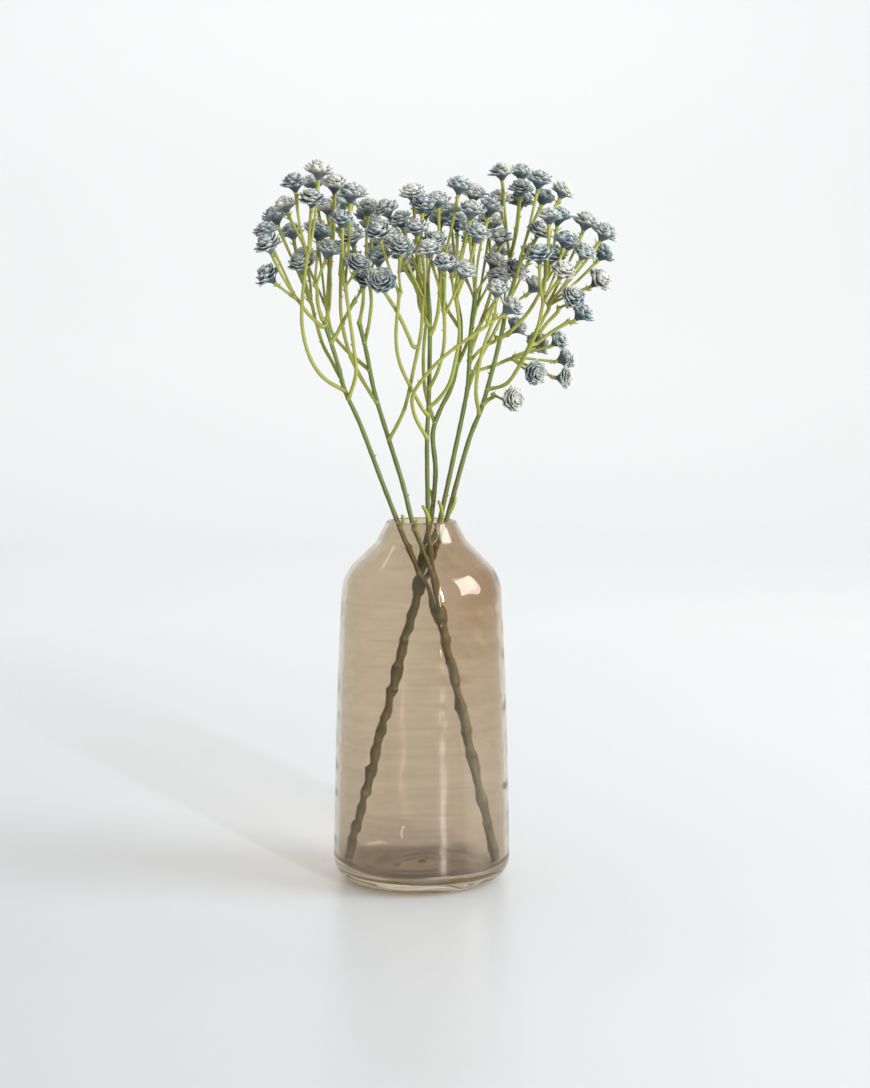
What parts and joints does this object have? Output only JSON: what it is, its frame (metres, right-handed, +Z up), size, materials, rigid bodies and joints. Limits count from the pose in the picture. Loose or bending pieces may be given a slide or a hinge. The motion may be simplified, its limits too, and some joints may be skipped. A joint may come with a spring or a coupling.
{
  "type": "bottle vase with artificial flower sprays",
  "caption": "Smoke-brown blown glass bottle vase with a cone neck, holding forked artificial sprays of small layered slate-blue florets.",
  "frame": {"origin": "centre of the vase's flat foot, on the surface that it stands on", "axes": "+Z up along the vase's axis, +Y towards the back, +X to the right; the sprays cross in the neck and lean left and right"},
  "size_m": [0.1819, 0.122, 0.3723],
  "materials": {
    "smoke_glass": "clear smoke-brown blown glass, fire polished",
    "stem_plastic": "satin moulded plastic, dark green",
    "twig_plastic": "satin moulded plastic, olive green",
    "floret_plastic": "soft matte foam plastic, slate blue with pale tips",
    "steel_wire": "drawn wire"
  },
  "bodies": {
    "vase": {"vase": "smoke_glass"},
    "left_spray": {"left_core_wire": "steel_wire", "left_main_stem": "stem_plastic", "left_fork_collar": "stem_plastic", "left_spurs": "twig_plastic", "left_outer_branch": "stem_plastic", "left_outer_twigs": "twig_plastic", "left_outer_stalks": "twig_plastic", "left_outer_calyxes": "twig_plastic", "left_outer_florets": "floret_plastic", "left_middle_branch": "stem_plastic", "left_middle_twigs": "twig_plastic", "left_middle_stalks": "twig_plastic", "left_middle_calyxes": "twig_plastic", "left_middle_florets": "floret_plastic", "left_inner_branch": "stem_plastic", "left_inner_twigs": "twig_plastic", "left_inner_stalks": "twig_plastic", "left_inner_calyxes": "twig_plastic", "left_inner_florets": "floret_plastic"},
    "right_spray": {"right_core_wire": "steel_wire", "right_main_stem": "stem_plastic", "right_fork_collar": "stem_plastic", "right_spurs": "twig_plastic", "right_outer_branch": "stem_plastic", "right_outer_twigs": "twig_plastic", "right_outer_stalks": "twig_plastic", "right_outer_calyxes": "twig_plastic", "right_outer_florets": "floret_plastic", "right_middle_branch": "stem_plastic", "right_middle_twigs": "twig_plastic", "right_middle_stalks": "twig_plastic", "right_middle_calyxes": "twig_plastic", "right_middle_florets": "floret_plastic", "right_inner_branch": "stem_plastic", "right_inner_twigs": "twig_plastic", "right_inner_stalks": "twig_plastic", "right_inner_calyxes": "twig_plastic", "right_inner_florets": "floret_plastic"}
  },
  "joints": [
    {"name": "left_spray_lift", "type": "slide", "parent": "vase", "child": "left_spray", "axis": [-0.22, 0, 0.9755], "range_m": [0, 0.2]},
    {"name": "right_spray_lift", "type": "slide", "parent": "vase", "child": "right_spray", "axis": [0.2526, 0, 0.9676], "range_m": [0, 0.2]}
  ]
}
